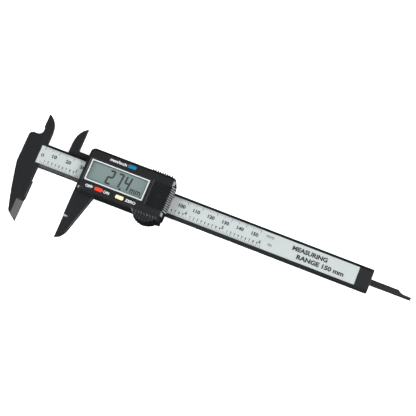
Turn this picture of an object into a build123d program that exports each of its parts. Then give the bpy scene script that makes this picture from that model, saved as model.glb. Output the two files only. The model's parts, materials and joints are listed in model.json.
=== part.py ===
"""Digital caliper for 150 mm, moulded in plastic, with its jaws set 27.4 mm apart.

X runs along the beam and is zero at the fixed outside measuring face. Y is zero on the
beam's centre line and points to the inside jaws. Z is zero on the plane that the caliper
lies on, and points out of the display. All sizes are in millimetres.
"""

from build123d import *
import os

os.makedirs("parts", exist_ok=True)

# ---- driving dimensions -------------------------------------------------------------
reading = 27.4  # how far the jaws are apart in this model

beam_length = 225.3  # measuring face to the plain end
beam_width = 16.2
beam_thickness = 4.0
beam_chamfer_width = 2.0
beam_chamfer_depth = 1.1
label_left = -3.4
label_right = 216.0
label_thickness = 0.2
stator_thickness = 0.8
beam_end_corner = 0.6

outside_jaw_reach = 39.4  # below the beam's edge
inside_jaw_reach = 19.5  # above the beam's edge
inside_jaw_setback = 7.5  # inside measuring edges lie this far left of the outside ones
head_length = 15.0
head_rise = 4.5
shoulder_drop = 1.4  # below the beam's edge, where the fixed jaw's curved back starts
face_relief = 0.9
face_relief_length = 10.3
fixed_back = (-11.5, 22.6)  # a point on that back, from the face and the tip
fixed_heel = (-6.5, 5.2)
fixed_heel_radius = 2.2
moving_toe = (3.4, 2.0)
moving_toe_radius = 2.0
moving_heel = (6.0, 6.0)
moving_heel_radius = 3.0
moving_root_width = 13.6
# Points on the curved backs of the inside jaws, from their tips.
fixed_horn_curve = [(3.1, -1.8), (5.6, -5.3), (6.75, -9.2), (7.15, -14.1)]
moving_horn_curve = [(-3.6, -2.9), (-5.8, -7.4), (-6.5, -14.2)]
notch_width = 2.95  # the round notch between the head and the fixed inside jaw
notch_radius = 2.95
notch_step = 0.75  # from the notch to the measuring edge
notch_rises = (3.0, 5.0, 5.5)
moving_rail_rise = 3.5
moving_rail_radius = 0.8
bevel_length = 17.2
bevel_width = 4.6
bevel_depth = 1.55
bevel_run_out = 3.2
blade_thickness = 1.8

case_setback = 1.3  # from the moving measuring face
case_length = 59.1
case_lower_margin = 5.8  # past the beam's edges
case_upper_margin = 7.2
case_corner = 3.0
case_wall = 1.7
end_wall = 1.2
case_chamfer = 1.6
back_plate_thickness = 2.2
plate_chamfer = 0.5
frame_above_board = 2.5  # its side walls, above the circuit board
cover_height = 4.5
cover_skin = 1.8

thumb_setback = 11.2  # its middle, from the case's right end
thumb_radius = 10.8
thumb_reach = 4.5  # past the case's lower side
thumb_drop = 2.2  # how far its top slopes down
rib_count = 9
rib_pitch = 1.92
rib_setback = 8.0  # the first, from the thumb rest's middle
rib_height = 0.6
rib_width = 0.85
rib_sway = 0.95
rib_overhang = 0.2  # past the thumb rest's rim
tooth_count = 9
tooth_pitch = 1.6
tooth_height = 1.2
tooth_setback = 17.4
foot_length = 2.8
foot_inset = 2.2
foot_reach = 0.45

window_setback = 2.6  # from the case's left end
window_length = 41.6
window_rise = 6.1  # from the case's lower side
window_width = 16.3
lens_thickness = 1.0
bezel_inset = 0.9
bezel_side = 0.8
bezel_edge = 0.75
bezel_thickness = 0.12

button_length = 5.3
button_width = 2.4
button_proud = 0.4
button_travel = 0.4
button_near = 12.4  # from the window's left end
button_far = 26.7
button_upper_inset = 3.7  # from the case's upper side
button_lower_inset = 3.85

cell_radius = 5.8
cell_height = 5.4
door_margin = 1.8  # how much longer the door is than the cell
door_rise = 5.6  # from the case's lower side
door_width = 17.2
door_thickness = 1.2
door_lip = 1.6  # how far it stands past the case
door_lip_height = 4.3
tongue_width = 0.8
tongue_thickness = 0.5
door_groove_count = 11
door_groove_pitch = 1.5
door_groove_depth = 0.5  # half of its width, because its walls meet squarely
door_groove_margin = 1.0

rod_width = 4.0
rod_thickness = 1.5
rod_nose_length = 8.8
rod_peg_radius = 0.8
rod_start_margin = 2.0  # where its groove begins
rod_peg_setback = 2.5
rod_corner = 0.8
rod_tip_width = 2.0

case_screw_radius = 0.75
case_screw_head = 1.75
case_screw_sink = 1.1
board_screw_radius = 0.6
board_screw_depth = 3.0
board_screw_setback = 19.6  # from the window's left end
board_screw_upper_inset = 4.5
board_screw_lower_inset = 3.9
gib_screw_radius = 1.0
gib_screw_setbacks = (11.3, 35.3)  # from the case's left end
gib_thickness = 0.8

# ---- clearances ---------------------------------------------------------------------
slide_gap = 0.12  # slider to the beam's long sides
back_gap = 0.2  # slider to the beam's back
board_gap = 0.3  # board to the scale label
blade_gap = 0.25  # between the two layers of inside jaws
fit_gap = 0.1  # around a piece that drops into a recess
button_gap = 0.12
door_gap = 0.12
screw_gap = 0.3
rod_gap = 0.15
cell_ring_gap = 0.15
blob_gap = 1.05  # controller's resin to the display's holder
board_end_gap = 0.5
board_door_gap = 1.2
board_side_gap = 0.5
gib_end_gap = 1.0
cut_over = 1.0  # how far a cut reaches past the piece

# ---- levels and edges that follow ---------------------------------------------------
half_beam = beam_width / 2
beam_back = back_plate_thickness + back_gap
beam_front = beam_back + beam_thickness
blade_top = beam_back + blade_thickness
recess_depth = label_thickness + stator_thickness
label_half_width = half_beam - beam_chamfer_width

case_left = reading + case_setback
case_right = case_left + case_length
case_bottom = -half_beam - case_lower_margin
case_top = half_beam + case_upper_margin
case_mid_x = case_left + case_length / 2
case_mid_y = (case_top + case_bottom) / 2
case_width = case_top - case_bottom
board_bottom = beam_front + board_gap
board_thickness = 1.0
board_top = board_bottom + board_thickness
parting = board_top + frame_above_board
face = parting + cover_height
skin_inside = face - cover_skin

jaw_tip_y = -half_beam - outside_jaw_reach
horn_tip_y = half_beam + inside_jaw_reach
fixed_horn_x = -inside_jaw_setback
moving_horn_x = reading - inside_jaw_setback
head_top = half_beam + head_rise

thumb_centre_x = case_right - thumb_setback
thumb_low = case_bottom - thumb_reach
thumb_centre_y = thumb_low + thumb_radius
thumb_rim = case_bottom + case_chamfer  # where the thumb rest starts to slope down
thumb_slope = thumb_drop / (thumb_rim - thumb_low)
tooth_start = case_right - tooth_setback
window_left = case_left + window_setback
window_bottom = case_bottom + window_rise
window_mid = (window_left + window_length / 2, window_bottom + window_width / 2)
button_places = {
    "mm_inch": (window_left + button_far, case_top - button_upper_inset),
    "power": (window_left + button_near, case_bottom + button_lower_inset),
    "zero": (window_left + button_far, case_bottom + button_lower_inset),
}
lens_top = face - fit_gap
lens_bottom = lens_top - lens_thickness
door_left = case_right - 2 * cell_radius - door_margin
door_bottom = case_bottom + door_rise
door_mid_y = door_bottom + door_width / 2
cell_centre = (door_left + cell_radius + cell_ring_gap, door_mid_y)
door_underside = face - door_thickness
cell_top = door_underside - 2 * fit_gap
cell_bottom = cell_top - cell_height
screw_post_radius = 1.7
screw_inset_x = end_wall + screw_post_radius + 1.1
screw_inset_y = case_wall + screw_post_radius + fit_gap
screw_places = [
    (x, y)
    for x in (case_left + screw_inset_x, case_right - screw_inset_x)
    for y in (case_bottom + screw_inset_y, case_top - screw_inset_y)
]
board_screw_x = window_left + board_screw_setback
board_screw_places = [
    (board_screw_x, case_top - board_screw_upper_inset),
    (board_screw_x, case_bottom + board_screw_lower_inset),
]
gib_screw_places = [case_left + setback for setback in gib_screw_setbacks]

gib_level = (beam_back + beam_front) / 2
gib_length = case_length - 2 * end_wall - 2 * gib_end_gap
board_left = case_left + end_wall + board_end_gap
board_right = door_left - board_door_gap
bridge_thickness = 0.8
bridge_bearing = 0.6  # how far it lies on each rail
rod_level = beam_back + rod_gap
rod_left = case_left + rod_start_margin + rod_gap
rod_peg_x = rod_left + rod_peg_setback
rod_right = beam_length + reading

lens_corner = 1.0
lens_ledge = 1.75
bezel_length = window_length - 2 * bezel_inset
bezel_width = window_width - 2 * bezel_inset
lcd_end_margin = 1.4
lcd_side_margin = 0.9
lcd_length = window_length - 2 * lcd_end_margin
lcd_width = window_width - 2 * lcd_side_margin
holder_wall = 0.6
holder_shelf = 0.6
film_thickness = 0.15
glass_thickness = 0.85
lcd_top = skin_inside - fit_gap
lcd_bottom = lcd_top - 2 * glass_thickness - 2 * film_thickness
zebra_end_margin = 1.5
zebra_side_margin = 1.2
zebra_length = lcd_length - 2 * zebra_end_margin
zebra_width = 1.6
zebra_offset = lcd_width / 2 - zebra_side_margin
zebra_places = [(window_mid[0], window_mid[1] + side * zebra_offset) for side in (-1, 1)]
blob_radius = zebra_offset - zebra_width - blob_gap
blob_height = 1.0
crystal_offset = 7.0  # from the window's middle
crystal_left = window_mid[0] + crystal_offset
crystal_length = 6.0
crystal_radius = 1.0

button_corner = 0.9
button_edge = 0.35
flange_top = skin_inside - fit_gap
flange_thickness = 0.7
flange_width = 0.7
stem_radius = 0.9
switch_length = 4.2
switch_width = 3.2
switch_height = 1.5
plunger_radius = 0.7
plunger_bottom = board_top + 2 * fit_gap + button_travel
plunger_top = board_top + switch_height + button_travel + 3 * fit_gap

cell_cap_height = 0.4
cell_ring_wall = 0.8
contact_thickness = 0.15
case_screw_end = skin_inside - 0.9
case_screw_recess = 0.1
gib_screw_sink = 0.8
door_slope_start = 1.0
arrow_proud = 0.1
arrow_length = 2.8
arrow_left = (door_left + case_right) / 2 - 1.9

# ---- outlines that several pieces share ---------------------------------------------
# The case seen from the front, without its thumb rest.
with BuildSketch() as case_outline:
    with Locations((case_mid_x, case_mid_y)):
        RectangleRounded(case_length, case_width, case_corner)

# The thumb rest, an arc that bulges out of the lower side.
with BuildSketch() as thumb_outline:
    with Locations((thumb_centre_x, thumb_centre_y)):
        Circle(thumb_radius)
    with Locations((thumb_centre_x, thumb_low)):
        Rectangle(2 * thumb_radius, 2 * (thumb_reach + case_chamfer), mode=Mode.INTERSECT)

# The small foot between the thumb rest and the case's corner.
with BuildSketch() as foot_outline:
    with Locations((case_right - foot_inset, case_bottom - foot_reach)):
        Rectangle(foot_length, 4 * foot_reach)

# The row of teeth on the upper side.
with BuildSketch() as teeth_outline:
    for i in range(tooth_count):
        tooth_left = tooth_start + i * tooth_pitch
        with BuildLine():
            Polyline(
                (tooth_left, case_top - tooth_height),
                (tooth_left + 0.25 * tooth_pitch, case_top + tooth_height),
                (tooth_left + 0.45 * tooth_pitch, case_top + tooth_height),
                (tooth_left + 0.9 * tooth_pitch, case_top - tooth_height),
                close=True,
            )
        make_face()

# The S-shaped ribs of the thumb rest, as lines seen from the front.
with BuildSketch() as rib_outline:
    for i in range(rib_count):
        x = thumb_centre_x - rib_setback + i * rib_pitch
        with BuildLine() as rib_line:
            Spline(
                (x, case_bottom + case_chamfer / 2),
                (x + rib_sway, case_bottom - 0.35 * thumb_reach),
                (x + 0.6 * rib_sway, case_bottom - 0.8 * thumb_reach),
                (x + rib_sway, thumb_low - cut_over),
            )
        trace(rib_line.line, rib_width)


def measuring_bevel(edge_x, toward, level, up):
    """The wedge that is ground off one side of an outside jaw, down to its thin edge.

    toward is 1 where the jaw lies to the right of its measuring face, and up is 1 on the
    front side. The wedge ends in a rounded run-out, as the wheel leaves it.
    """
    with BuildPart() as wedge:
        with BuildSketch(Plane.XZ.offset(half_beam + outside_jaw_reach - bevel_length)):
            with BuildLine():
                Polyline(
                    (edge_x + toward * bevel_width, level),
                    (edge_x - toward, level - up * bevel_depth * (1 + 1 / bevel_width)),
                    (edge_x - toward, level + up * bevel_run_out),
                    (edge_x + toward * bevel_width, level + up * bevel_run_out),
                    close=True,
                )
            make_face()
        extrude(amount=bevel_length + cut_over)
        middle = (edge_x + toward * bevel_width / 2, jaw_tip_y + bevel_length)
        run_out = wedge.edges().sort_by_distance((*middle, level - up * bevel_depth / 2))[0]
        fillet(run_out, bevel_run_out)
    return wedge.part


def above_thumb(lift):
    """The space over the thumb rest's sloping top, raised by lift."""
    with BuildPart() as space:
        with BuildSketch(Plane.YZ.offset(thumb_centre_x - thumb_radius - cut_over)):
            with BuildLine():
                drop = thumb_slope * (thumb_rim - thumb_low + cut_over)
                Polyline(
                    (thumb_rim, face + lift),
                    (thumb_low - cut_over, face + lift - drop),
                    (thumb_low - cut_over, face + cut_over),
                    (thumb_rim, face + cut_over),
                    close=True,
                )
            make_face()
        extrude(amount=2 * (thumb_radius + cut_over))
    return space.part


def thumb_ribs(bottom, top):
    """The thumb rest's ribs between two levels, standing a little out of its wall."""
    with BuildPart() as ribs:
        with BuildSketch(Plane.XY.offset(bottom)):
            add(rib_outline.sketch)
        extrude(amount=top - bottom)
        with BuildSketch(Plane.XY.offset(bottom)):
            with Locations((thumb_centre_x, thumb_centre_y)):
                Circle(thumb_radius + rib_overhang)
        extrude(amount=top - bottom, mode=Mode.INTERSECT)
        if top > face - thumb_drop:
            add(above_thumb(rib_height), mode=Mode.SUBTRACT)
    return ribs.part


fixed_bevels = [measuring_bevel(0, -1, beam_front, 1), measuring_bevel(0, -1, beam_back, -1)]
moving_bevels = [measuring_bevel(reading, 1, z, up) for z, up in ((beam_front, 1), (beam_back, -1))]

# ---- the beam with both fixed jaws ---------------------------------------------------
with BuildPart() as beam:
    with BuildSketch(Plane.XY.offset(beam_back)) as bar:
        with Locations(((beam_length - head_length) / 2, 0)):
            Rectangle(beam_length + head_length, beam_width)
        fillet(bar.vertices().group_by(Axis.X)[-1], beam_end_corner)
        with BuildLine():
            shoulder = (-head_length, -half_beam - shoulder_drop)
            back = (fixed_back[0], jaw_tip_y + fixed_back[1])
            heel = (fixed_heel[0], jaw_tip_y + fixed_heel[1])
            Polyline(
                heel,
                (0, jaw_tip_y),
                (0, -half_beam - face_relief_length),
                (-face_relief, -half_beam - face_relief_length),
                (-face_relief, 0),
                (-head_length, 0),
                shoulder,
            )
            ThreePointArc(shoulder, back, heel)
        make_face()
        fillet(bar.vertices().sort_by_distance(heel)[0], fixed_heel_radius)
    extrude(amount=beam_thickness)
    # The head and the inside jaw above the beam fill only the front layer, so that the
    # moving inside jaw can pass behind them.
    with BuildSketch(Plane.XY.offset(blade_top + blade_gap)) as head:
        with BuildLine():
            tip = (fixed_horn_x, horn_tip_y)
            curve = [(tip[0] + x, tip[1] + y) for x, y in fixed_horn_curve]
            root_x = fixed_horn_x + notch_step
            notch_left = (root_x - notch_width, head_top)
            notch_right = (root_x, head_top + notch_rises[0])
            Polyline(
                curve[-1],
                (curve[-1][0], half_beam - beam_end_corner),
                (-head_length, half_beam - beam_end_corner),
                (-head_length, head_top),
                notch_left,
            )
            RadiusArc(notch_left, notch_right, -notch_radius)
            Polyline(
                notch_right,
                (root_x, head_top + notch_rises[1]),
                (fixed_horn_x, head_top + notch_rises[2]),
                tip,
            )
            Spline(tip, *curve)
        make_face()
        fillet(head.vertices().sort_by_distance((-head_length, head_top))[0], case_corner)
    extrude(amount=beam_front - blade_top - blade_gap)
    # Long front edges of the bar.
    with BuildSketch(Plane.YZ):
        for side in (-1, 1):
            with BuildLine():
                Polyline(
                    (side * (half_beam + cut_over), beam_front + cut_over),
                    (side * (half_beam - beam_chamfer_width), beam_front + cut_over),
                    (side * (half_beam - beam_chamfer_width), beam_front),
                    (side * half_beam, beam_front - beam_chamfer_depth),
                    (side * (half_beam + cut_over), beam_front - beam_chamfer_depth),
                    close=True,
                )
            make_face()
    extrude(amount=beam_length + cut_over, mode=Mode.SUBTRACT)
    # Recess for the stator board and its label.
    with BuildSketch(Plane.XY.offset(beam_front - recess_depth)):
        with Locations(((label_left + label_right) / 2, 0)):
            Rectangle(label_right - label_left, 2 * label_half_width)
    extrude(amount=recess_depth, mode=Mode.SUBTRACT)
    # Groove for the depth rod, open at the beam's end.
    with BuildSketch(Plane.XY.offset(beam_back)):
        with Locations(((beam_length + cut_over + rod_start_margin) / 2, 0)):
            Rectangle(beam_length + cut_over - rod_start_margin, rod_width + 2 * rod_gap)
    extrude(amount=rod_level + rod_thickness + rod_gap - beam_back, mode=Mode.SUBTRACT)
    add(fixed_bevels, mode=Mode.SUBTRACT)

# ---- the strip that the sensor reads, and the printed scale over it ------------------
with BuildPart() as stator_board:
    with BuildSketch(Plane.XY.offset(beam_front - recess_depth)):
        with Locations(((label_left + label_right) / 2, 0)):
            Rectangle(label_right - label_left - fit_gap, 2 * label_half_width - fit_gap)
    extrude(amount=stator_thickness)

with BuildPart() as scale_label:
    with BuildSketch(Plane.XY.offset(beam_front - label_thickness)):
        with Locations(((label_left + label_right) / 2, 0)):
            Rectangle(label_right - label_left - fit_gap, 2 * label_half_width - fit_gap)
    extrude(amount=label_thickness)

# ---- the slider's frame, in one piece with the moving jaws --------------------------
frame_ribs = thumb_ribs(back_plate_thickness, parting)

with BuildPart() as slider_frame:
    with BuildSketch(Plane.XY.offset(back_plate_thickness)):
        add(case_outline.sketch)
        add(thumb_outline.sketch)
        add(foot_outline.sketch)
        add(teeth_outline.sketch)
    extrude(amount=parting - back_plate_thickness)
    add(frame_ribs)
    # Room for the electronics, above the rails that run beside the beam.
    with BuildSketch(Plane.XY.offset(board_bottom)):
        with Locations((case_mid_x, case_mid_y)):
            Rectangle(case_length - 2 * end_wall, case_width - 2 * case_wall)
    extrude(amount=parting - board_bottom, mode=Mode.SUBTRACT)
    # The channel that slides on the beam, with the gib's space along its upper side.
    with BuildSketch(Plane.XY.offset(back_plate_thickness)):
        with Locations((case_mid_x, 0)):
            Rectangle(case_length + 2 * cut_over, beam_width + 2 * slide_gap)
        with Locations((case_mid_x, half_beam + slide_gap + gib_thickness / 2)):
            Rectangle(gib_length + 2 * fit_gap, gib_thickness)
    extrude(amount=board_bottom - back_plate_thickness, mode=Mode.SUBTRACT)
    # Bridge under the cell, which ties the two rails together.
    with BuildSketch(Plane.XY.offset(board_bottom)):
        with Locations(((board_right + fit_gap + case_right) / 2, 0)):
            Rectangle(case_right - board_right - fit_gap, beam_width + 2 * bridge_bearing)
    extrude(amount=bridge_thickness)
    # Moving outside jaw.
    with BuildSketch(Plane.XY.offset(beam_back)) as lower_jaw:
        with BuildLine():
            toe = (reading + moving_toe[0], jaw_tip_y + moving_toe[1])
            heel = (reading + moving_heel[0], jaw_tip_y + moving_heel[1])
            Polyline(
                (reading, -half_beam - slide_gap),
                (reading, jaw_tip_y),
                toe,
                heel,
                (reading + moving_root_width, case_bottom),
                (reading + moving_root_width, -half_beam - slide_gap),
                close=True,
            )
        make_face()
        fillet(lower_jaw.vertices().sort_by_distance(heel)[0], moving_heel_radius)
        fillet(lower_jaw.vertices().sort_by_distance(toe)[0], moving_toe_radius)
    extrude(amount=beam_thickness)
    # Moving inside jaw and the rail that carries it, in the back layer.
    with BuildSketch(Plane.XY.offset(beam_back)) as upper_jaw:
        with BuildLine():
            tip = (moving_horn_x, horn_tip_y)
            curve = [(tip[0] + x, tip[1] + y) for x, y in moving_horn_curve]
            rail_top = half_beam + moving_rail_rise
            Polyline(
                curve[-1],
                (curve[-1][0], half_beam + slide_gap),
                (case_left + end_wall, half_beam + slide_gap),
                (case_left + end_wall, rail_top),
                (moving_horn_x, rail_top),
                tip,
            )
            Spline(tip, *curve)
        make_face()
        fillet(upper_jaw.vertices().sort_by_distance((moving_horn_x, rail_top))[0], moving_rail_radius)
    extrude(amount=blade_thickness)
    add(moving_bevels, mode=Mode.SUBTRACT)
    # Clearance for the case screws, pilots for the board screws, holes for the gib's.
    with Locations(*[(x, y, board_bottom) for x, y in screw_places]):
        Hole(case_screw_radius + screw_gap)
    with Locations(*[(x, y, board_bottom) for x, y in board_screw_places]):
        Hole(board_screw_radius, depth=board_screw_depth)
    with BuildSketch(Plane.XZ.offset(-case_top - cut_over)):
        with Locations(*[(x, gib_level) for x in gib_screw_places]):
            Circle(gib_screw_radius)
    extrude(
        amount=case_top + cut_over - half_beam - slide_gap - gib_thickness / 2, mode=Mode.SUBTRACT
    )

# ---- back plate ----------------------------------------------------------------------
plate_ribs = thumb_ribs(0, back_plate_thickness)

with BuildPart() as back_plate:
    with BuildSketch(Plane.XY):
        add(case_outline.sketch)
    extrude(amount=back_plate_thickness)
    chamfer(back_plate.edges().group_by(Axis.Z)[0], plate_chamfer)
    with BuildSketch(Plane.XY):
        add(thumb_outline.sketch)
        add(foot_outline.sketch)
    extrude(amount=back_plate_thickness)
    add(plate_ribs)
    with Locations(Plane.XY.rotated((180, 0, 0))):
        with Locations(*[(x, -y) for x, y in screw_places]):
            CounterBoreHole(
                radius=case_screw_radius + screw_gap,
                counter_bore_radius=case_screw_head + 0.2,
                counter_bore_depth=case_screw_sink,
            )
    # Peg that carries the depth rod along.
    with BuildSketch(Plane.XY.offset(back_plate_thickness)):
        with Locations((rod_peg_x, 0)):
            Circle(rod_peg_radius)
    extrude(amount=rod_level + rod_thickness - back_plate_thickness)

# ---- front cover ---------------------------------------------------------------------
cover_ribs = thumb_ribs(parting, face + rib_height)
thumb_space = above_thumb(0)

with BuildPart() as front_cover:
    with BuildSketch(Plane.XY.offset(parting)):
        add(case_outline.sketch)
    extrude(amount=cover_height)
    chamfer(front_cover.faces().sort_by(Axis.Z)[-1].edges(), case_chamfer)
    with BuildSketch(Plane.XY.offset(parting)):
        add(teeth_outline.sketch)
        add(foot_outline.sketch)
    extrude(amount=cover_height - case_chamfer)
    # Upper end of the thumb rest, whose top slopes down to its rim.
    with BuildSketch(Plane.XY.offset(parting)):
        add(thumb_outline.sketch)
    extrude(amount=cover_height)
    add(thumb_space, mode=Mode.SUBTRACT)
    add(cover_ribs)
    # Inside, below the face.
    with BuildSketch(Plane.XY.offset(parting)):
        with Locations((case_mid_x, case_mid_y)):
            Rectangle(case_length - 2 * end_wall, case_width - 2 * case_wall)
    extrude(amount=skin_inside - parting, mode=Mode.SUBTRACT)
    # Recess for the lens, and the opening behind it.
    with BuildSketch(Plane.XY.offset(lens_bottom)):
        with Locations(window_mid):
            RectangleRounded(window_length, window_width, lens_corner)
    extrude(amount=cover_height, mode=Mode.SUBTRACT)
    with BuildSketch(Plane.XY.offset(parting)):
        with Locations(window_mid):
            Rectangle(window_length - 2 * lens_ledge, window_width - 2 * lens_ledge)
    extrude(amount=cover_height, mode=Mode.SUBTRACT)
    # Button holes.
    with BuildSketch(Plane.XY.offset(parting)):
        with Locations(*button_places.values()):
            RectangleRounded(
                button_length + 2 * button_gap, button_width + 2 * button_gap, button_corner
            )
    extrude(amount=cover_height, mode=Mode.SUBTRACT)
    # Opening over the cell, with a groove along each side for the door's tongues.
    with BuildSketch(Plane.XY.offset(skin_inside)):
        with Locations(((door_left - door_gap + case_right + cut_over) / 2, door_mid_y)):
            Rectangle(case_right + cut_over - door_left + door_gap, door_width + 2 * door_gap)
    extrude(amount=cover_height, mode=Mode.SUBTRACT)
    with BuildSketch(Plane.XY.offset(door_underside - door_gap)):
        with Locations(((door_left - door_gap + case_right + cut_over) / 2, door_mid_y)):
            Rectangle(
                case_right + cut_over - door_left + door_gap,
                door_width + 2 * (tongue_width + door_gap),
            )
    extrude(amount=tongue_thickness + 2 * door_gap, mode=Mode.SUBTRACT)
    # Ring around the cell.
    with BuildSketch(Plane.XY.offset(parting)):
        with Locations(cell_centre):
            Circle(cell_radius + cell_ring_gap + cell_ring_wall)
            Circle(cell_radius + cell_ring_gap, mode=Mode.SUBTRACT)
    extrude(amount=cell_top - parting)
    # Posts for the case screws, down to the frame's rails.
    with BuildSketch(Plane.XY.offset(board_bottom)):
        with Locations(*screw_places):
            Circle(screw_post_radius)
    extrude(amount=skin_inside - board_bottom)
    with BuildSketch(Plane.XY.offset(board_bottom)):
        with Locations(*screw_places):
            Circle(case_screw_radius)
    extrude(amount=case_screw_end + fit_gap - board_bottom, mode=Mode.SUBTRACT)

# ---- display -------------------------------------------------------------------------
with BuildPart() as lens_window:
    with BuildSketch(Plane.XY.offset(lens_bottom)):
        with Locations(window_mid):
            RectangleRounded(window_length - fit_gap, window_width - fit_gap, lens_corner)
    extrude(amount=lens_thickness)

with BuildPart() as display_bezel:
    with BuildSketch(Plane.XY.offset(lens_top)):
        with Locations(window_mid):
            Rectangle(bezel_length, bezel_width)
            Rectangle(bezel_length - 2 * bezel_side, bezel_width - 2 * bezel_edge, mode=Mode.SUBTRACT)
    extrude(amount=bezel_thickness)

with BuildPart() as lcd_holder:
    with BuildSketch(Plane.XY.offset(board_top)):
        with Locations(window_mid):
            Rectangle(lcd_length + 2 * holder_wall, lcd_width + 2 * holder_wall)
    extrude(amount=lcd_top - board_top)
    with BuildSketch(Plane.XY.offset(lcd_bottom)):
        with Locations(window_mid):
            Rectangle(lcd_length + fit_gap, lcd_width + fit_gap)
    extrude(amount=lcd_top - lcd_bottom, mode=Mode.SUBTRACT)
    with BuildSketch(Plane.XY.offset(board_top)):
        with Locations(*zebra_places):
            Rectangle(zebra_length + fit_gap, zebra_width + fit_gap)
    extrude(amount=lcd_bottom - board_top, mode=Mode.SUBTRACT)
    with BuildSketch(Plane.XY.offset(board_top)):
        with Locations(window_mid):
            Rectangle(zebra_length, 2 * (zebra_offset - zebra_width))
    extrude(amount=lcd_bottom - board_top - holder_shelf, mode=Mode.SUBTRACT)

with BuildPart() as zebra_strips:
    with BuildSketch(Plane.XY.offset(board_top)):
        with Locations(*zebra_places):
            Rectangle(zebra_length, zebra_width)
    extrude(amount=lcd_bottom - board_top)


def display_layer(bottom, thickness, shorter=0):
    """One flat layer of the display, shorter across by what it leaves bare for contacts."""
    with BuildPart() as layer:
        with BuildSketch(Plane.XY.offset(bottom)):
            with Locations(window_mid):
                Rectangle(lcd_length, lcd_width - 2 * shorter)
        extrude(amount=thickness)
    return layer


lcd_reflector = display_layer(lcd_bottom, film_thickness, shorter=zebra_width + fit_gap)
lcd_rear_glass = display_layer(lcd_bottom + film_thickness, glass_thickness)
lcd_front_glass = display_layer(lcd_bottom + film_thickness + glass_thickness, glass_thickness)
lcd_polariser = display_layer(lcd_top - film_thickness, film_thickness)

# ---- main board and what is on it ---------------------------------------------------
with BuildPart() as main_board:
    with BuildSketch(Plane.XY.offset(board_bottom)):
        with Locations(((board_left + board_right) / 2, case_mid_y)):
            Rectangle(board_right - board_left, case_width - 2 * (case_wall + board_side_gap))
        with Locations(*screw_places):
            Circle(screw_post_radius + 2 * fit_gap, mode=Mode.SUBTRACT)
        with Locations(*board_screw_places):
            Circle(board_screw_radius + fit_gap, mode=Mode.SUBTRACT)
    extrude(amount=board_thickness)

with BuildPart() as controller_blob:
    with BuildSketch(Plane.XY.offset(board_top)):
        with Locations(window_mid):
            Circle(blob_radius)
    extrude(amount=blob_height)
    fillet(controller_blob.edges().group_by(Axis.Z)[-1], blob_height * 0.9)

with BuildPart() as timing_crystal:
    with BuildSketch(Plane.YZ.offset(crystal_left)):
        with Locations((window_mid[1], board_top + crystal_radius)):
            Circle(crystal_radius)
    extrude(amount=crystal_length)
    chamfer(timing_crystal.edges(), 0.15)

with BuildPart() as tact_switches:
    with BuildSketch(Plane.XY.offset(board_top)):
        with Locations(*button_places.values()):
            Rectangle(switch_length, switch_width)
    extrude(amount=switch_height)
    with BuildSketch(Plane.XY.offset(board_top + fit_gap)):
        with Locations(*button_places.values()):
            Circle(plunger_radius + fit_gap)
    extrude(amount=switch_height, mode=Mode.SUBTRACT)

with BuildPart() as board_screws:
    with BuildSketch(Plane.XY.offset(board_top)):
        with Locations(*board_screw_places):
            Circle(2 * board_screw_radius)
    extrude(amount=board_screw_radius)
    with BuildSketch(Plane.XY.offset(board_top + board_screw_radius / 2)):
        with Locations(*board_screw_places):
            Rectangle(2.5 * board_screw_radius, 0.4 * board_screw_radius)
            Rectangle(0.4 * board_screw_radius, 2.5 * board_screw_radius)
    extrude(amount=board_screw_radius, mode=Mode.SUBTRACT)
    with BuildSketch(Plane.XY.offset(board_bottom - board_screw_depth + fit_gap)):
        with Locations(*board_screw_places):
            Circle(board_screw_radius)
    extrude(amount=board_screw_depth + board_thickness - fit_gap)


# ---- buttons, each with the plunger of its switch -----------------------------------
def button_cap(place):
    """A button's cap, its flange under the cover, and the stem that reaches the plunger."""
    with BuildPart() as cap:
        with BuildSketch(Plane.XY.offset(flange_top)):
            with Locations(place):
                RectangleRounded(button_length, button_width, button_corner - button_gap)
        extrude(amount=face + button_proud - flange_top)
        fillet(cap.edges().group_by(Axis.Z)[-1], button_edge)
        with BuildSketch(Plane.XY.offset(flange_top - flange_thickness)):
            with Locations(place):
                Rectangle(button_length + 2 * flange_width, button_width + 2 * flange_width)
        extrude(amount=flange_thickness)
        with BuildSketch(Plane.XY.offset(plunger_top)):
            with Locations(place):
                Circle(stem_radius)
        extrude(amount=flange_top - flange_thickness - plunger_top)
    return cap


def switch_plunger(place):
    """The round plunger that a button pushes into its switch."""
    with BuildPart() as plunger:
        with BuildSketch(Plane.XY.offset(plunger_bottom)):
            with Locations(place):
                Circle(plunger_radius)
        extrude(amount=plunger_top - plunger_bottom)
    return plunger


# ---- cell, its contacts and its door --------------------------------------------------
with BuildPart() as button_cell:
    with BuildSketch(Plane.XY.offset(cell_bottom)):
        with Locations(cell_centre):
            Circle(cell_radius * 0.8)
    extrude(amount=cell_height)
    with BuildSketch(Plane.XY.offset(cell_bottom + cell_cap_height)):
        with Locations(cell_centre):
            Circle(cell_radius)
    extrude(amount=cell_height - cell_cap_height)
    fillet(button_cell.edges().group_by(Axis.Z)[-1], 0.4)


def contact_strip(points, middle_y, width):
    """A strip of sheet metal, bent along points given as X and Z."""
    with BuildPart() as strip:
        with BuildSketch(Plane.XZ.offset(-middle_y - width / 2)):
            with BuildLine() as bend:
                Polyline(*points)
            trace(bend.line, contact_thickness)
        extrude(amount=width)
    return strip


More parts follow.
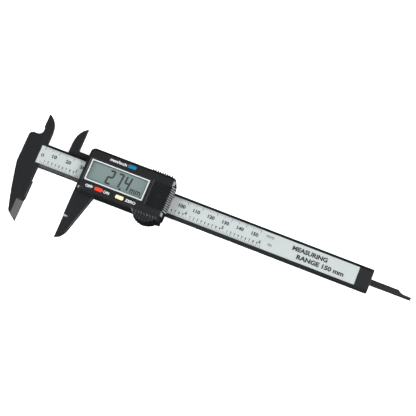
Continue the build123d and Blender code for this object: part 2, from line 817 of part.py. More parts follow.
half_sheet = contact_thickness / 2
foot_left = board_right - 1.0
contact_plus = contact_strip(
    [
        (foot_left, board_top + half_sheet),
        (board_right + 0.1, board_top + half_sheet),
        (cell_centre[0] - cell_radius - half_sheet, board_top + 0.64 * frame_above_board),
        (cell_centre[0] - cell_radius - half_sheet, parting - fit_gap),
    ],
    middle_y=cell_centre[1],
    width=3.0,
)
contact_minus = contact_strip(
    [
        (foot_left, board_top + half_sheet),
        (board_right + 0.2, board_top + half_sheet),
        (board_right + 2.4, board_bottom + bridge_thickness + half_sheet),
        (cell_centre[0] + 1.2, cell_bottom - half_sheet),
    ],
    middle_y=cell_centre[1] - 3.6,
    width=2.2,
)

with BuildPart() as battery_door:
    lip_x = case_right + door_lip
    with BuildSketch(Plane.XZ.offset(-door_bottom - door_width)):
        with BuildLine():
            Polyline(
                (door_left, door_underside),
                (door_left, face),
                (case_right - door_slope_start, face),
                (lip_x, face - door_slope_start - door_lip),
                (lip_x, face - door_lip_height),
                (case_right + door_gap, face - door_lip_height),
                (case_right + door_gap, door_underside),
                close=True,
            )
        make_face()
    extrude(amount=door_width)
    # Grooves for the thumb, along the door's face and down the slope at its end.
    groove_left = door_left + door_groove_margin
    slope_x = case_right - door_slope_start
    for start_x, way in ((groove_left, (1, 0, 0)), (slope_x, (1, 0, -1))):
        with BuildSketch(Plane((start_x, door_mid_y, face), x_dir=(0, 1, 0), z_dir=way)):
            for i in range(door_groove_count):
                groove_y = (i - (door_groove_count - 1) / 2) * door_groove_pitch
                with BuildLine():
                    Polyline(
                        (groove_y - door_groove_depth, 0),
                        (groove_y - door_groove_depth, cut_over),
                        (groove_y + door_groove_depth, cut_over),
                        (groove_y + door_groove_depth, 0),
                        (groove_y, -door_groove_depth),
                        close=True,
                    )
                make_face()
        extrude(amount=lip_x + cut_over - start_x + door_lip_height, mode=Mode.SUBTRACT)
    # Arrow that shows which way the door slides off.
    with BuildSketch(Plane.XY.offset(face - door_groove_depth)):
        with BuildLine():
            Polyline(
                (arrow_left, door_mid_y - arrow_length / 1.5),
                (arrow_left + arrow_length, door_mid_y),
                (arrow_left, door_mid_y + arrow_length / 1.5),
                (arrow_left + 0.2 * arrow_length, door_mid_y),
                close=True,
            )
        make_face()
    extrude(amount=door_groove_depth + arrow_proud)
    # Tongues that run in the cover's grooves.
    with BuildSketch(Plane.XY.offset(door_underside)):
        with Locations(((door_left + case_right) / 2, door_mid_y)):
            Rectangle(case_right - door_left - 1, door_width + 2 * tongue_width)
    extrude(amount=tongue_thickness)

# ---- gib, screws and depth rod -------------------------------------------------------
with BuildPart() as gib_strip:
    with BuildSketch(Plane.XY.offset(beam_back + fit_gap)):
        with Locations((case_mid_x, half_beam + slide_gap + gib_thickness / 2)):
            Rectangle(gib_length, gib_thickness)
    extrude(amount=beam_thickness - 2 * fit_gap)

with BuildPart() as gib_screws:
    with BuildSketch(Plane.XZ.offset(-case_top + gib_screw_sink)):
        with Locations(*[(x, gib_level) for x in gib_screw_places]):
            Circle(gib_screw_radius)
    extrude(amount=case_top - gib_screw_sink - half_beam - slide_gap - gib_thickness)
    with BuildSketch(Plane.XZ.offset(-case_top + gib_screw_sink)):
        with Locations(*[(x, gib_level) for x in gib_screw_places]):
            Rectangle(3 * gib_screw_radius, 0.4 * gib_screw_radius)
    extrude(amount=0.6 * gib_screw_radius, mode=Mode.SUBTRACT)

with BuildPart() as case_screws:
    with BuildSketch(Plane.XY.offset(case_screw_recess)):
        with Locations(*screw_places):
            Circle(case_screw_head)
    extrude(amount=case_screw_sink - case_screw_recess)
    with BuildSketch(Plane.XY.offset(case_screw_recess)):
        with Locations(*screw_places):
            Rectangle(1.4 * case_screw_head, 0.3 * case_screw_head)
            Rectangle(0.3 * case_screw_head, 1.4 * case_screw_head)
    extrude(amount=0.6 * (case_screw_sink - case_screw_recess), mode=Mode.SUBTRACT)
    with BuildSketch(Plane.XY.offset(case_screw_sink)):
        with Locations(*screw_places):
            Circle(case_screw_radius)
    extrude(amount=case_screw_end - case_screw_sink)

with BuildPart() as depth_rod:
    with BuildSketch(Plane.XY.offset(rod_level)) as rod:
        half_rod = rod_width / 2
        nose_left = rod_right - rod_nose_length
        with BuildLine():
            Polyline(
                (nose_left, half_rod),
                (rod_left, half_rod),
                (rod_left, -half_rod),
                (rod_right, -half_rod),
                (rod_right, rod_tip_width - half_rod),
                (nose_left + 0.45 * rod_nose_length, rod_tip_width + 0.2 - half_rod),
            )
            ThreePointArc(
                (nose_left + 0.45 * rod_nose_length, rod_tip_width + 0.2 - half_rod),
                (nose_left + 0.18 * rod_nose_length, rod_tip_width + 0.75 - half_rod),
                (nose_left, half_rod),
            )
        make_face()
        fillet(rod.vertices().group_by(Axis.X)[0], 0.8)
        with Locations((rod_peg_x, 0)):
            Circle(rod_peg_radius + fit_gap / 2, mode=Mode.SUBTRACT)
    extrude(amount=rod_thickness)

# ---- every piece, under the name that it is known by ---------------------------------
pieces = {
    "beam": beam,
    "stator_board": stator_board,
    "scale_label": scale_label,
    "slider_frame": slider_frame,
    "back_plate": back_plate,
    "front_cover": front_cover,
    "lens_window": lens_window,
    "display_bezel": display_bezel,
    "lcd_holder": lcd_holder,
    "zebra_strips": zebra_strips,
    "lcd_reflector": lcd_reflector,
    "lcd_rear_glass": lcd_rear_glass,
    "lcd_front_glass": lcd_front_glass,
    "lcd_polariser": lcd_polariser,
    "main_board": main_board,
    "controller_blob": controller_blob,
    "timing_crystal": timing_crystal,
    "tact_switches": tact_switches,
    "board_screws": board_screws,
    "button_cell": button_cell,
    "contact_plus": contact_plus,
    "contact_minus": contact_minus,
    "battery_door": battery_door,
    "gib_strip": gib_strip,
    "gib_screws": gib_screws,
    "case_screws": case_screws,
    "depth_rod": depth_rod,
}
for use, place in button_places.items():
    pieces[f"button_{use}"] = button_cap(place)
    pieces[f"plunger_{use}"] = switch_plunger(place)

for name, piece in pieces.items():
    piece.part.label = name
    export_step(piece.part, f"parts/{name}.step")
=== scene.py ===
# %% [markdown]
# # The looks of a plastic digital caliper
#
# The measured model of the caliper is loaded as a fixed frame: it knows every size, and
# which pieces move together. This lesson gives that frame its looks. Where a piece of the
# frame already has the right shape it only gets a finish. Where the real piece has
# rounded mould edges, printing or display segments, a new piece is modelled over it.
#
# Everything is in metres, with X along the beam, Y across it towards the inside jaws, and
# Z out of the display. The caliper lies on the plane Z = 0.

# %% Load the frame
import json
from math import cos, radians, sin

import bmesh
import bpy
from mathutils import Matrix, Vector


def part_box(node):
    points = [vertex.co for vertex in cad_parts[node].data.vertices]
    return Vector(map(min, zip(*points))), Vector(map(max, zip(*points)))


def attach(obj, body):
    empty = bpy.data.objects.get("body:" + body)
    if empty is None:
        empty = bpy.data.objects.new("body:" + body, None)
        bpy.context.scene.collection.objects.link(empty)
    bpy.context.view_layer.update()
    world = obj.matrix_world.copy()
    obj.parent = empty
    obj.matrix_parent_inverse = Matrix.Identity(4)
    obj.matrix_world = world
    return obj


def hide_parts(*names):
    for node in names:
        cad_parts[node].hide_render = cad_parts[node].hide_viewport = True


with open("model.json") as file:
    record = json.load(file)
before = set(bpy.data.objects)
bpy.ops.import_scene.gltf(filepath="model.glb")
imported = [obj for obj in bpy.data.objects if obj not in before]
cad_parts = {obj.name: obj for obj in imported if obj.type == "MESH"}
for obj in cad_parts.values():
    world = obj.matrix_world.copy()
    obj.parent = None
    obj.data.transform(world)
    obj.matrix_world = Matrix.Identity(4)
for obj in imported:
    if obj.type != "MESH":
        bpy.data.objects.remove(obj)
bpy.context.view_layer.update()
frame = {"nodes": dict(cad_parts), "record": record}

mm = 0.001

# %% [markdown]
# ## Helpers for finishes
#
# A finish is a small network of shader nodes. Two helpers keep each one short: one turns a
# colour as a designer writes it, in sRGB hex, into the linear values that light is worked
# out with, and one adds a node with its settings and links. A principled shader alone can
# describe nearly every solid, so each finish starts from it and adds only the texture that
# its making leaves: the grain of an eroded mould, the lines of drawing or rolling.


# %% Colour and node helpers
def linear(hex_colour):
    """An sRGB colour such as #1C1D1F, as linear red, green, blue and an alpha of 1."""
    values = [int(hex_colour[i:i + 2], 16) / 255 for i in (1, 3, 5)]
    return [v / 12.92 if v < 0.04045 else ((v + 0.055) / 1.055) ** 2.4 for v in values] + [1]


def add_node(tree, kind, inputs=None, links=None, **settings):
    """A new node: inputs are values by socket name, links are sockets to read from."""
    node = tree.nodes.new(kind)
    for name, value in settings.items():
        setattr(node, name, value)
    for name, value in (inputs or {}).items():
        node.inputs[name].default_value = value
    for name, socket in (links or {}).items():
        tree.links.new(socket, node.inputs[name])
    return node


def new_finish(name, colour, **inputs):
    """A material with a principled shader of one colour, ready for its texture."""
    material = bpy.data.materials.new(name)
    material.use_nodes = True
    shader = material.node_tree.nodes["Principled BSDF"]
    shader.inputs["Base Color"].default_value = linear(colour)
    for socket, value in inputs.items():
        shader.inputs[socket.replace("_", " ")].default_value = value
    material.diffuse_color = linear(colour)
    return material, material.node_tree, shader


# %% [markdown]
# ## Finishes of moulded plastic
#
# The caliper's black pieces are ABS, probably with carbon or glass filler, moulded in a
# tool whose walls were spark eroded. That leaves a fine, even grain, which the eye reads
# as satin: highlights are wide and soft, and there is no mirror image. Real grain is about
# 0.05 mm, too fine to show at this distance, so it is drawn about 0.4 mm wide.
#
# The grain is one noise texture that moves the roughness a little and lifts the surface a
# few thousandths of a millimetre. A second, broad noise makes the colour uneven by a hair,
# as handling and flow in the mould do.


# %% Satin moulded plastic
flow_width = 14 * mm


def moulded_plastic(name, colour, shade, roughness, grain=0.4 * mm, relief=0.004 * mm):
    """Plastic from an eroded mould, in two close shades of one colour."""
    material, tree, shader = new_finish(name, colour, IOR=1.5)
    place = add_node(tree, "ShaderNodeTexCoord").outputs["Object"]
    fine = add_node(
        tree, "ShaderNodeTexNoise", {"Scale": 1 / grain, "Detail": 3.0}, {"Vector": place}
    )
    broad = add_node(
        tree, "ShaderNodeTexNoise", {"Scale": 1 / flow_width, "Detail": 2.0}, {"Vector": place}
    )
    tint = add_node(
        tree, "ShaderNodeMix", {"A": linear(colour), "B": linear(shade)},
        {"Factor": broad.outputs["Fac"]}, data_type="RGBA",
    )
    spread = add_node(
        tree, "ShaderNodeMapRange",
        {"To Min": roughness - 0.05, "To Max": roughness + 0.05}, {"Value": fine.outputs["Fac"]},
    )
    bump = add_node(
        tree, "ShaderNodeBump", {"Strength": 0.5, "Distance": relief},
        {"Height": fine.outputs["Fac"]},
    )
    tree.links.new(tint.outputs["Result"], shader.inputs["Base Color"])
    tree.links.new(spread.outputs["Result"], shader.inputs["Roughness"])
    tree.links.new(bump.outputs["Normal"], shader.inputs["Normal"])
    return material


black_abs = moulded_plastic("black_ABS_spark_eroded", "#131416", "#17191B", 0.3)
blue_abs = moulded_plastic("blue_ABS_button", "#00739A", "#026C90", 0.42)
red_abs = moulded_plastic("red_ABS_button", "#E23C29", "#DA3725", 0.42)
cream_abs = moulded_plastic("cream_ABS_button", "#F6EBB9", "#F0E3AD", 0.42)
white_abs = moulded_plastic("white_ABS", "#DAD9D4", "#D2D1CB", 0.45)
black_epoxy = moulded_plastic("black_epoxy_glob_top", "#17181A", "#1D1E20", 0.3, grain=1.2 * mm)
zebra_rubber = moulded_plastic("silicone_zebra_rubber", "#2A2A2B", "#242425", 0.7)
print("moulded finishes ready, first of them", black_abs.name)

# %% [markdown]
# ## Finishes of film, print and glass
#
# The scale is printed in black on a silver-grey polyester film with a satin varnish. Screen
# printing lays the film's own colour down with a very fine mottle. The silver frame of the
# display and the white lettering of the case are printed too, with a thicker ink.
#
# A reflective liquid crystal display is a greenish grey: its polariser eats half of the
# light, and the reflector behind has a fine grain. Its segments are never quite black.


# %% Film, ink and display
def printed(name, colour, shade, roughness, mottle, **inputs):
    """Ink or film with a fine mottle between two close shades."""
    material, tree, shader = new_finish(name, colour, Roughness=roughness, **inputs)
    place = add_node(tree, "ShaderNodeTexCoord").outputs["Object"]
    speck = add_node(
        tree, "ShaderNodeTexNoise", {"Scale": 1 / mottle, "Detail": 4.0}, {"Vector": place}
    )
    tint = add_node(
        tree, "ShaderNodeMix", {"A": linear(colour), "B": linear(shade)},
        {"Factor": speck.outputs["Fac"]}, data_type="RGBA",
    )
    tree.links.new(tint.outputs["Result"], shader.inputs["Base Color"])
    return material


scale_film = printed("silver_grey_polyester_film", "#B7BEBE", "#AFB6B6", 0.5, 0.9 * mm)
black_ink = printed("black_screen_print_ink", "#26282A", "#313335", 0.5, 0.5 * mm)
grey_ink = printed("grey_screen_print_ink", "#55595B", "#606466", 0.5, 0.5 * mm)
white_ink = printed("white_pad_print_ink", "#F1F3F3", "#E6E9E9", 0.45, 0.5 * mm)
silver_ink = printed("silver_screen_print_ink", "#D3D9DC", "#C8CED1", 0.4, 0.4 * mm, Metallic=0.1)
lcd_film = printed("reflective_LCD_polariser", "#76888A", "#72847F", 0.3, 0.7 * mm)
lcd_dark = printed("LCD_segment_switched_on", "#241F21", "#2B2628", 0.35, 0.5 * mm)
solder_resist = printed("green_solder_resist_on_FR4", "#1E5A2E", "#256436", 0.35, 1.5 * mm)


haze_width = 6 * mm


def clear_sheet(name, colour, opacity, ior):
    """A clear sheet, see-through but for a trace of tint, dust and reflection."""
    material, tree, shader = new_finish(name, colour, Alpha=opacity, IOR=ior)
    place = add_node(tree, "ShaderNodeTexCoord").outputs["Object"]
    haze = add_node(
        tree, "ShaderNodeTexNoise", {"Scale": 1 / haze_width, "Detail": 3.0}, {"Vector": place}
    )
    spread = add_node(
        tree, "ShaderNodeMapRange", {"To Min": 0.04, "To Max": 0.10},
        {"Value": haze.outputs["Fac"]},
    )
    tree.links.new(spread.outputs["Result"], shader.inputs["Roughness"])
    return material


acrylic_lens = clear_sheet("clear_acrylic_lens", "#8E9595", 0.05, 1.49)
display_glass = clear_sheet("soda_lime_display_glass", "#C4D2CC", 0.35, 1.52)
print("printed and clear finishes ready")

# %% [markdown]
# ## Finishes of metal
#
# The screws, the cell and its contacts are nickel-plated steel, and the gib that takes up
# play in the slide is drawn brass. Each is made by pulling or rolling, so its scratches
# run one way: a noise texture stretched along X gives them. Metals keep the default index
# of refraction, because the metallic setting takes their reflection from the colour.


# %% Drawn and plated metal
def drawn_metal(name, colour, roughness, line=0.15 * mm):
    """Metal with fine drawing lines along X, about line wide and forty times as long."""
    material, tree, shader = new_finish(name, colour, Metallic=1.0)
    place = add_node(tree, "ShaderNodeTexCoord").outputs["Object"]
    along = add_node(
        tree, "ShaderNodeMapping", {"Scale": (1 / (40 * line), 1 / line, 1 / line)},
        {"Vector": place},
    )
    lines = add_node(
        tree, "ShaderNodeTexNoise", {"Scale": 1.0, "Detail": 2.0},
        {"Vector": along.outputs["Vector"]},
    )
    spread = add_node(
        tree, "ShaderNodeMapRange",
        {"To Min": roughness - 0.08, "To Max": roughness + 0.08}, {"Value": lines.outputs["Fac"]},
    )
    tree.links.new(spread.outputs["Result"], shader.inputs["Roughness"])
    return material


nickel_plate = drawn_metal("nickel_plated_steel", "#C9C7C1", 0.28)
drawn_brass = drawn_metal("drawn_brass", "#C8A867", 0.32)
print("metal finishes ready")

# %% [markdown]
# ## Finishes for the pieces that keep their shape
#
# Each piece of the frame names a slot in the record. A table from slot to finish covers
# all of them, inside and out, so nothing is left in the grey that it was loaded with.

# %% Give every piece of the frame its finish
finish_of_slot = {
    "black_plastic": black_abs,
    "printed_label": scale_film,
    "circuit_board": solder_resist,
    "clear_window": acrylic_lens,
    "silver_frame": silver_ink,
    "white_plastic": white_abs,
    "elastomer": zebra_rubber,
    "display_glass": display_glass,
    "display_film": lcd_film,
    "plated_steel": nickel_plate,
    "brass": drawn_brass,
    "blue_button": blue_abs,
    "red_button": red_abs,
    "cream_button": cream_abs,
}
slot_of = {row["node"]: row["material_slot"] for row in frame["record"]["subparts"]}
bodies = frame["record"]["behaviour"]["bodies"]
body_of = {node: body for body, nodes in bodies.items() for node in nodes}


def dress(piece, finish):
    """Puts a finish in every material slot of a piece, or in a new one."""
    if not piece.material_slots:
        piece.data.materials.append(finish)
    for material_slot in piece.material_slots:
        material_slot.material = finish


for node, piece in frame["nodes"].items():
    dress(piece, finish_of_slot[slot_of[node]])
dress(frame["nodes"]["controller_blob"], black_epoxy)
print("dressed", len(slot_of), "pieces in", len(finish_of_slot), "finishes")

# %% [markdown]
# ## Rounded mould edges
#
# No moulded edge is sharp: the cutter that made the mould had a radius, and plastic does
# not fill a sharp corner. A radius of a quarter of a millimetre is enough to draw the thin
# light lines that tell the eye that a black piece has edges at all.
#
# The edges could be rounded in the measured model, but there they would only slow it down.
# Here a copy of the piece is welded, because it comes as loose triangles, its flat
# stretches are dissolved back to whole faces, and only then are its outer edges bevelled.


# %% Copies of the frame's pieces with rounded edges
largest_smooth_face = 15 * mm * mm


def finished_mesh(bm, name, finish, smooth_below=15):
    """An object at the origin from a bmesh, smooth except over edges sharper than this.

    Large flat faces stay flat, or the shading of their rounded edges would spread over them.
    """
    mesh = bpy.data.meshes.new(name)
    bm.to_mesh(mesh)
    bm.free()
    smooth = [face.area < largest_smooth_face for face in mesh.polygons]
    mesh.polygons.foreach_set("use_smooth", smooth)
    mesh.set_sharp_from_angle(angle=radians(smooth_below))
    piece = bpy.data.objects.new(name, mesh)
    bpy.context.scene.collection.objects.link(piece)
    dress(piece, finish)
    return piece


def welded_copy(node):
    """A bmesh of a frame piece, welded, with its flat stretches as whole faces."""
    bm = bmesh.new()
    bm.from_mesh(frame["nodes"][node].data)
    bmesh.ops.remove_doubles(bm, verts=bm.verts, dist=0.001 * mm)
    bmesh.ops.dissolve_limit(bm, angle_limit=radians(0.5), verts=bm.verts, edges=bm.edges)
    return bm


def in_box(point, box):
    """Whether a point lies in a box seen from above."""
    x_from, x_to, y_from, y_to = box
    return x_from < point.x < x_to and y_from < point.y < y_to


def rounded_copy(node, radius, segments=2, sharper_than=32, keep_sharp=None):
    """Replaces a frame piece by its copy with outer edges of this radius.

    keep_sharp is a box, as its lowest and highest X and Y, whose edges stay as they are.
    """
    bm = welded_copy(node)
    outer = [
        edge for edge in bm.edges
        if edge.is_manifold and edge.is_convex and edge.calc_face_angle() > radians(sharper_than)
        and not (keep_sharp and any(in_box(vert.co, keep_sharp) for vert in edge.verts))
    ]
    bmesh.ops.bevel(
        bm, geom=outer, offset=radius, offset_type="OFFSET", segments=segments, profile=0.5,
        affect="EDGES", clamp_overlap=False, material=-1,
    )
    piece = finished_mesh(bm, node + "_moulded", finish_of_slot[slot_of[node]])
    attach(piece, body_of[node])
    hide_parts(node)
    print(node, "rounded at", len(outer), "edges,", len(piece.data.polygons), "faces")
    return piece


rounded_copy("beam", 0.22 * mm)
case_low, case_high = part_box("front_cover")
rib_ends = (case_high.x - 23 * mm, case_high.x, case_low.y + 5 * mm, case_low.y + 7 * mm)
rounded_copy("slider_frame", 0.2 * mm, keep_sharp=rib_ends)
rounded_copy("back_plate", 0.2 * mm, keep_sharp=rib_ends)
rounded_copy("front_cover", 0.22 * mm, keep_sharp=rib_ends)
rounded_copy("depth_rod", 0.2 * mm)

# %% [markdown]
# ## Lettering
#
# Printing has a thickness, a few hundredths of a millimetre, and so does each letter here.
# A text object is the quick way to a letter's outline. It is turned into a mesh at once and
# only then put in its place, so that the finished print is one plain mesh at the origin.


# %% A helper that prints words on a flat face
ink_thickness = 0.03 * mm


def text_mesh(words, boldness):
    """Words as a mesh of unit text size, one unit thick, with strokes fattened by boldness."""
    curve = bpy.data.curves.new("words", "FONT")
    curve.body = words
    curve.extrude = 0.5
    curve.offset = boldness
    curve.resolution_u = 3
    text = bpy.data.objects.new("words", curve)
    bpy.context.scene.collection.objects.link(text)
    mesh = bpy.data.meshes.new_from_object(text)
    bpy.data.objects.remove(text)
    bpy.data.curves.remove(curve)
    return mesh


capital = text_mesh("H", 0)
capital_height = max(v.co.y for v in capital.vertices)
print("a capital is", round(capital_height, 3), "of its text size")


def print_words(bm, words, middle, height, width=None, boldness=0.015):
    """Adds words to bm, centred on middle, with capitals this high and, if given, this wide.

    They are filled at full size and then shrunk, because the fill of a letter that is
    only a millimetre high would lose its smallest corners.
    """
    mesh = text_mesh(words, boldness)
    xs = [v.co.x for v in mesh.vertices]
    scale_y = height / capital_height
    scale_x = width / (max(xs) - min(xs)) if width else scale_y
    to_middle = Matrix.Translation((-(max(xs) + min(xs)) / 2, -capital_height / 2, 0.5))
    to_size = Matrix.Diagonal((scale_x, scale_y, ink_thickness, 1))
    mesh.transform(Matrix.Translation(middle) @ to_size @ to_middle)
    bm.from_mesh(mesh)
    bpy.data.meshes.remove(mesh)


def finished_print(bm, name, finish, body):
    """Closes the letters' seams and makes the print a piece of a body."""
    bmesh.ops.remove_doubles(bm, verts=bm.verts, dist=0.001 * mm)
    piece = finished_mesh(bm, name, finish)
    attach(piece, body)
    print(name, "has", len(piece.data.polygons), "faces")
    return piece


# %% [markdown]
# ## The scale
#
# Millimetres hang from the upper edge of the film and inches stand on its lower edge. Each
# tick is a bar of ink, longer at fives and tens, and each number stands to the left of
# the tick that it names, as on a ruler that is read from the left. One loop draws each
# scale from its pitch, so that every tick is exactly where it measures.

# %% Ticks and numbers of both scales
film_low, film_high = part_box("scale_label")
film_top = film_high.z
scale_zero = -0.5 * mm


def tick(bm, x, y_from, y_to, width):
    """A bar of ink across the scale at x."""
    place = Matrix.Translation((x, (y_from + y_to) / 2, film_top + ink_thickness / 2))
    size = Matrix.Diagonal((width, abs(y_to - y_from), ink_thickness, 1))
    bmesh.ops.create_cube(bm, size=1, matrix=place @ size)


scale = bmesh.new()
upper = film_high.y - 0.15 * mm
for millimetre in range(151):
    if millimetre % 10 == 0:
        length, width = 2.3 * mm, 0.3 * mm
    elif millimetre % 5 == 0:
        length, width = 1.6 * mm, 0.22 * mm
    else:
        length, width = 1.0 * mm, 0.18 * mm
    tick(scale, scale_zero + millimetre * mm, upper, upper - length, width)
number_height = 2.1 * mm
gap_to_tick = 0.9 * mm
zero_middle = Vector((scale_zero - 0.2 * mm, -0.1 * mm, film_top))
print_words(scale, "0", zero_middle, 2.0 * mm, 2.0 * mm, 0.03)
for ten in range(10, 160, 10):
    number_width = 3.6 * mm if ten < 100 else 5.0 * mm
    # A 1 is a narrow figure.
    if "1" in str(ten)[:-2] + str(ten)[-2]:
        number_width -= 0.4 * mm
    middle_x = scale_zero + ten * mm - gap_to_tick - number_width / 2
    middle = Vector((middle_x, 1.5 * mm, film_top))
    print_words(scale, str(ten), middle, number_height, number_width, 0.045)

inch = 25.4 * mm
lower = film_low.y + 0.15 * mm
for twentieth in range(121):
    length = 1.7 * mm if twentieth % 2 == 0 else 1.0 * mm
    x = scale_zero + twentieth * inch / 20
    tick(scale, x, lower, lower + length, 0.22 * mm)
    if twentieth % 20 == 0 and twentieth:
        middle = Vector((x - 0.95 * mm, -2.1 * mm, film_top))
        print_words(scale, str(twentieth // 20), middle, number_height, boldness=0.03)
    elif twentieth % 2 == 0 and twentieth:
        tenth = str(twentieth // 2 % 10)
        print_words(scale, tenth, Vector((x, -3.3 * mm, film_top)), 1.4 * mm, boldness=0.035)
finished_print(scale, "scale_print", black_ink, "beam")

units = bmesh.new()
print_words(units, "mm", Vector((156.2 * mm, 3.6 * mm, film_top)), 2.2 * mm, 5.2 * mm)
print_words(units, "in", Vector((157.6 * mm, -1.5 * mm, film_top)), 2.0 * mm, 2.6 * mm)
finished_print(units, "unit_print", grey_ink, "beam")

title = bmesh.new()
title_height = 2.7 * mm
for line, x, y, width in (
    ("MEASURING", 183.6 * mm, 2.3 * mm, 23.6 * mm),
    ("RANGE 150 mm", 192.0 * mm, -2.4 * mm, 31.8 * mm),
):
    print_words(title, line, Vector((x, y, film_top)), title_height, width, 0.05)
finished_print(title, "range_print", black_ink, "beam")

# %% [markdown]
# ## The case's lettering
#
# The case carries four short words in white, each next to its button: the units, off, on
# and zero. They are pad printed straight on the black face, and keep clear of the buttons.

# %% White words on the case
face = max(v.co.z for v in frame["nodes"]["lens_window"].data.vertices) + 0.1 * mm


def button_middle(use):
    """The middle of the box around the button of this use."""
    low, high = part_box("button_" + use)
    return (low + high) / 2


words = bmesh.new()
# Each word is (text, its button, offset along X, height, width).
lines = [
    ("mm/inch", "mm_inch", -9.35 * mm, 1.9 * mm, 11.3 * mm),
    ("OFF", "power", -6.6 * mm, 1.7 * mm, 4.9 * mm),
    ("ON", "power", 5.3 * mm, 1.75 * mm, 3.8 * mm),
    ("ZERO", "zero", 7.55 * mm, 1.75 * mm, 6.9 * mm),
]
for text, use, offset, height, width in lines:
    middle = button_middle(use)
    place = Vector((middle.x + offset, middle.y - 0.15 * mm, face))
    print_words(words, text, place, height, width)
finished_print(words, "case_lettering", white_ink, "slider")

# %% [markdown]
# ## The display
#
# A segment is a patch of liquid crystal between two glasses. It is drawn as a flat bar with
# pointed ends, a little under a millimetre wide. A digit is up to seven of them around two
# squares, and the whole row leans to the right, as on most of these displays. The reading
# is the real gap between the jaws.

# %% Seven-segment digits
display_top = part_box("lcd_polariser")[1].z
digit_height = 10.1 * mm
digit_width = 4.3 * mm
stroke = 1.25 * mm
lean = 0.1
segment_gap = 0.12 * mm
# Each segment is (x, y, upright), in halves of the digit's width and height.
segments = {
    "top": (0, 1, False), "middle": (0, 0, False), "bottom": (0, -1, False),
    "upper_left": (-1, 0.5, True), "upper_right": (1, 0.5, True),
    "lower_left": (-1, -0.5, True), "lower_right": (1, -0.5, True),
}
lit = {
    "2": ["top", "upper_right", "middle", "lower_left", "bottom"],
    "7": ["top", "upper_right", "lower_right"],
    "4": ["upper_left", "upper_right", "middle", "lower_right"],
}


def bar(bm, middle, length, upright):
    """A flat bar with pointed ends."""
    size = (stroke, length, ink_thickness) if upright else (length, stroke, ink_thickness)
    place = Matrix.Translation(middle) @ Matrix.Diagonal((*size, 1))
    made = bmesh.ops.create_cube(bm, size=1, matrix=place)["verts"]
    corners = [
        edge for edge in {e for v in made for e in v.link_edges}
        if abs(edge.verts[0].co.z - edge.verts[1].co.z) > ink_thickness / 2
    ]
    bmesh.ops.bevel(
        bm, geom=corners, offset=0.4 * stroke, offset_type="OFFSET", segments=1, profile=0.5,
        affect="EDGES", clamp_overlap=True, material=-1,
    )


def digit(bm, figure, middle_x, middle_y):
    """One figure of the display, leaning to the right."""
    made = bmesh.new()
    half_width = (digit_width - stroke) / 2
    half_height = (digit_height - stroke) / 2
    for name in lit[figure]:
        x, y, upright = segments[name]
        length = (half_height if upright else 2 * half_width) - 2 * segment_gap
        bar(made, Vector((x * half_width, y * half_height, 0)), length + 0.5 * stroke, upright)
    leaning = Matrix(((1, lean, 0, 0), (0, 1, 0, 0), (0, 0, 1, 0), (0, 0, 0, 1)))
    place = Matrix.Translation((middle_x, middle_y, display_top + ink_thickness / 2))
    bmesh.ops.transform(made, matrix=place @ leaning, verts=made.verts)
    mesh = bpy.data.meshes.new("figure")
    made.to_mesh(mesh)
    made.free()
    bm.from_mesh(mesh)
    bpy.data.meshes.remove(mesh)


reading = bmesh.new()
digit_pitch = 5.8 * mm
first_digit = Vector((47.2 * mm, 0.6 * mm, display_top))
for place, figure in enumerate("274"):
    digit(reading, figure, first_digit.x + place * digit_pitch, first_digit.y)
point_x = first_digit.x + 1.5 * digit_pitch - 0.3 * mm
point_y = first_digit.y - digit_height / 2
point = Matrix.Translation((point_x, point_y, display_top + ink_thickness / 2))
point_size = Matrix.Diagonal((stroke, stroke, ink_thickness, 1))
bmesh.ops.create_cube(reading, size=1, matrix=point @ point_size)
print_words(reading, "mm", Vector((65.6 * mm, -2.3 * mm, display_top)), 3.8 * mm, 7.2 * mm, 0.03)
finished_print(reading, "display_reading", lcd_dark, "slider")

# %% [markdown]
# ## Floor, light and camera
#
# A product of black plastic on white is lit by large soft panels near the floor, so that
# its bevelled edges catch them while its flat faces stay dark. The floor is left out of
# reflections, as if black card stood just outside the picture, because the walls of the
# case would otherwise mirror it and turn grey. It is wide enough that its far edge stays
# out of a low view.


# %% A pale floor
floor_reach = 20.0
floor_gap = 0.02 * mm


def pale_floor():
    """A large plain sheet just under the caliper."""
    bm = bmesh.new()
    bmesh.ops.create_grid(bm, x_segments=1, y_segments=1, size=floor_reach)
    bmesh.ops.translate(bm, vec=(0.11, 0, -floor_gap), verts=bm.verts)
    paper, tree, shader = new_finish("backlit_white_acrylic", "#F4F4F4", Roughness=0.9)
    shader.inputs["Emission Color"].default_value = linear("#FFFFFF")
    shader.inputs["Emission Strength"].default_value = 0.8
    floor = finished_mesh(bm, "floor", paper)
    floor.visible_glossy = False
    return floor


pale_floor()


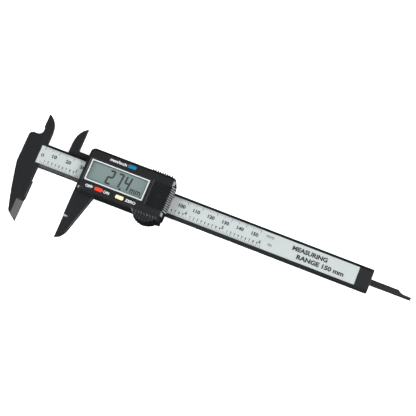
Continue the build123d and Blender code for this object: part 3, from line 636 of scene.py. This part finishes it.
def panel(name, azimuth, elevation, distance, width, height, power, aim=Vector((0.11, 0, 0))):
    """A soft light panel that faces aim, seen from it at this azimuth and elevation."""
    light = bpy.data.lights.new(name, "AREA")
    light.shape = "RECTANGLE"
    light.size = width
    light.size_y = height
    light.energy = power
    lamp = bpy.data.objects.new(name, light)
    a, e = radians(azimuth), radians(elevation)
    away = Vector((cos(a) * cos(e), sin(a) * cos(e), sin(e)))
    lamp.location = aim + distance * away
    lamp.rotation_euler = away.to_track_quat("Z", "Y").to_euler()
    bpy.context.scene.collection.objects.link(lamp)
    return lamp


panel("top_panel", 10, 55, 2.6, 1.2, 1.0, 46)
panel("right_panel", 14, 8, 0.9, 0.7, 0.3, 10)
panel("left_panel", 222, 24, 0.9, 0.3, 0.7, 12)


def studio_world(strength):
    """Even light from above the floor, and black card below it."""
    world = bpy.data.worlds.new("studio")
    world.use_nodes = True
    tree = world.node_tree
    sky = tree.nodes["Background"]
    sky.inputs["Strength"].default_value = strength
    direction = add_node(tree, "ShaderNodeTexCoord").outputs["Generated"]
    height = add_node(tree, "ShaderNodeSeparateXYZ", links={"Vector": direction}).outputs["Z"]
    shade = add_node(
        tree, "ShaderNodeMapRange",
        {"From Min": 0.15, "From Max": 0.75, "To Min": 0.01, "To Max": 1.0},
        {"Value": height}, interpolation_type="SMOOTHSTEP",
    )
    tree.links.new(shade.outputs["Result"], sky.inputs["Color"])
    bpy.context.scene.world = world


studio_world(0.3)
bpy.context.scene.view_settings.view_transform = "Standard"

# %% [markdown]
# ## The camera
#
# The camera stands almost straight above the caliper, turned so that the beam runs down to
# the right. A long lens from 0.8 m away keeps the two ends nearly the same size.

# %% The camera
camera_data = bpy.data.cameras.new("camera")
camera_data.lens = 108.6
camera_data.sensor_width = 36
camera = bpy.data.objects.new("camera", camera_data)
aim = Vector((112.1 * mm, 6.5 * mm, 6.4 * mm))
azimuth, elevation = radians(-68.26), radians(74.53)
away = Vector((cos(azimuth) * cos(elevation), sin(azimuth) * cos(elevation), sin(elevation)))
camera_distance = 0.8046
camera.location = aim + camera_distance * away
camera.rotation_euler = away.to_track_quat("Z", "Y").to_euler()
bpy.context.scene.collection.objects.link(camera)
bpy.context.scene.camera = camera
